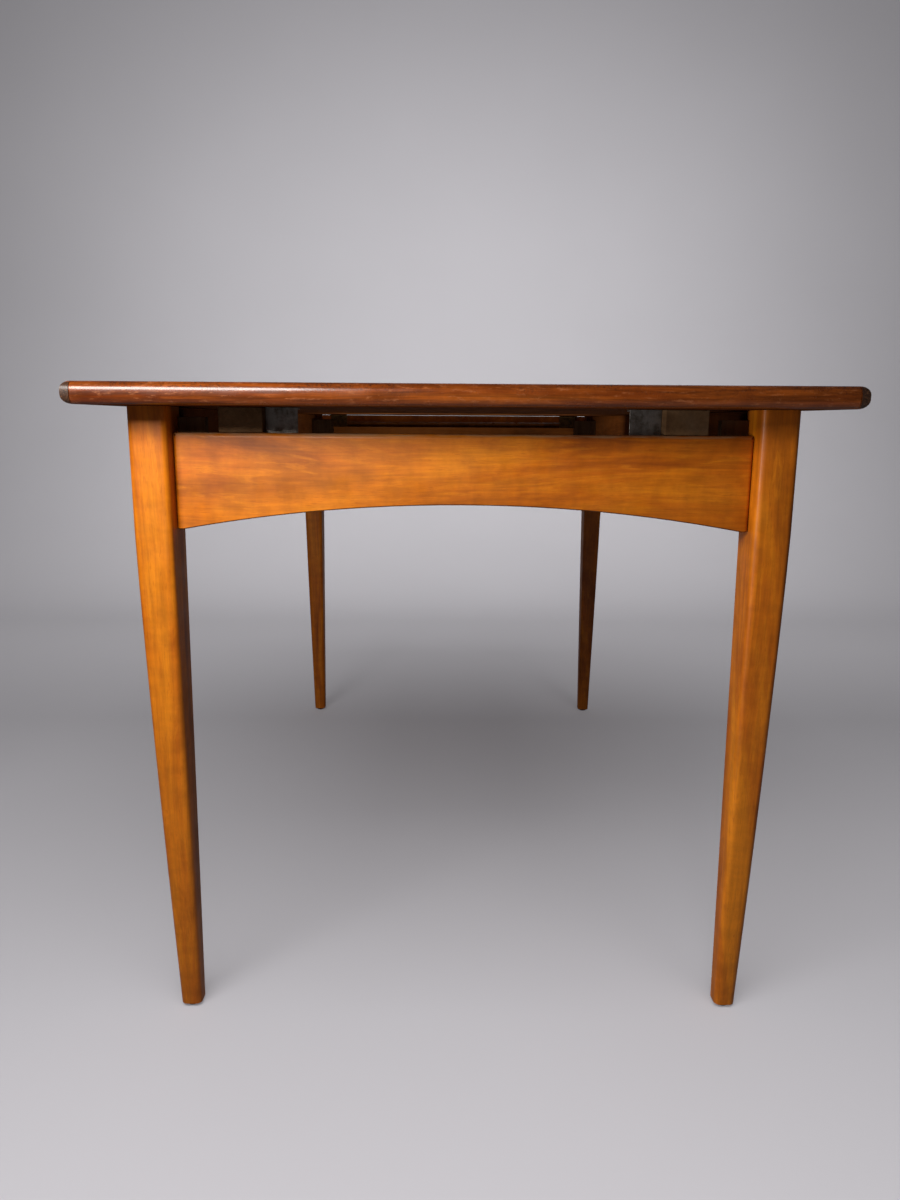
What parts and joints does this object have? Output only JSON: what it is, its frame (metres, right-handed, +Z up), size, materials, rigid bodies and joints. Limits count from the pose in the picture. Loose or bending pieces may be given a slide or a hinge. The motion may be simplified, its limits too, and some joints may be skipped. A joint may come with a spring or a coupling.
{
  "type": "drop leaf table",
  "caption": "Dining table with bowed tapered legs, arched end aprons, a lipped top and a hinged drop leaf on folding stays.",
  "frame": {"origin": "on the floor at the middle of the table's bounding box, with the leaf hanging", "axes": "+Z up, +Y along the table towards the drop leaf, +X across it to the right seen from the fixed end"},
  "size_m": [0.78, 1.348, 0.737],
  "materials": {
    "base_wood": "satin lacquer, honey brown",
    "top_wood": "satin lacquer, red brown",
    "inner_wood": "thinly sealed",
    "steel": "dull grey",
    "brass": "dulled",
    "glide_plastic": "matt"
  },
  "bodies": {
    "table_frame": {"leg_near_left": "base_wood", "leg_near_right": "base_wood", "leg_far_left": "base_wood", "leg_far_right": "base_wood", "apron_near": "base_wood", "apron_far": "base_wood", "rail_left": "base_wood", "rail_right": "base_wood", "corner_block_near_left": "inner_wood", "corner_block_near_right": "inner_wood", "corner_block_far_left": "inner_wood", "corner_block_far_right": "inner_wood", "bearer_left": "inner_wood", "bearer_right": "inner_wood", "top_panel": "top_wood", "top_lipping_left": "top_wood", "top_lipping_right": "top_wood", "top_lipping_near": "top_wood", "hanger_bolt_near_left": "steel", "hanger_bolt_near_right": "steel", "hanger_bolt_far_left": "steel", "hanger_bolt_far_right": "steel", "wing_nut_near_left": "steel", "wing_nut_near_right": "steel", "wing_nut_far_left": "steel", "wing_nut_far_right": "steel", "bracket_left": "steel", "bracket_right": "steel", "glide_near_left": "glide_plastic", "glide_near_right": "glide_plastic", "glide_far_left": "glide_plastic", "glide_far_right": "glide_plastic", "hinge_pin_left": "steel", "hinge_pin_right": "steel", "hinge_plate_fixed_left": "brass", "hinge_plate_fixed_right": "brass", "stay_bracket_frame_left": "steel", "stay_bracket_frame_right": "steel"},
    "leaf": {"leaf_panel": "top_wood", "leaf_lipping_left": "top_wood", "leaf_lipping_right": "top_wood", "leaf_lipping_end": "top_wood", "hinge_plate_leaf_left": "brass", "hinge_plate_leaf_right": "brass", "stay_bracket_leaf_left": "steel", "stay_bracket_leaf_right": "steel"},
    "stay_arm_left": {"stay_arm_left": "steel"},
    "stay_brace_left": {"stay_brace_left": "steel"},
    "stay_arm_right": {"stay_arm_right": "steel"},
    "stay_brace_right": {"stay_brace_right": "steel"}
  },
  "joints": [
    {"name": "leaf_hinge", "type": "hinge", "parent": "table_frame", "child": "leaf", "pos_m": [0, 0.652, 0.715], "axis": [1, 0, 0], "range_deg": [0, 90]},
    {"name": "stay_arm_pivot_left", "type": "hinge", "parent": "table_frame", "child": "stay_arm_left", "pos_m": [-0.192, 0.591, 0.645], "axis": [1, 0, 0], "range_deg": [0, 90]},
    {"name": "stay_brace_pivot_left", "type": "hinge", "parent": "leaf", "child": "stay_brace_left", "pos_m": [-0.1955, 0.64, 0.605], "axis": [1, 0, 0], "range_deg": [-90, 0]},
    {"name": "stay_arm_pivot_right", "type": "hinge", "parent": "table_frame", "child": "stay_arm_right", "pos_m": [0.192, 0.591, 0.645], "axis": [1, 0, 0], "range_deg": [0, 90]},
    {"name": "stay_brace_pivot_right", "type": "hinge", "parent": "leaf", "child": "stay_brace_right", "pos_m": [0.1955, 0.64, 0.605], "axis": [1, 0, 0], "range_deg": [-90, 0]}
  ],
  "couplings": [
    {"joint": "stay_arm_pivot_left", "follows": "leaf_hinge", "ratio": 1},
    {"joint": "stay_brace_pivot_left", "follows": "leaf_hinge", "ratio": -1},
    {"joint": "stay_arm_pivot_right", "follows": "leaf_hinge", "ratio": 1},
    {"joint": "stay_brace_pivot_right", "follows": "leaf_hinge", "ratio": -1}
  ]
}
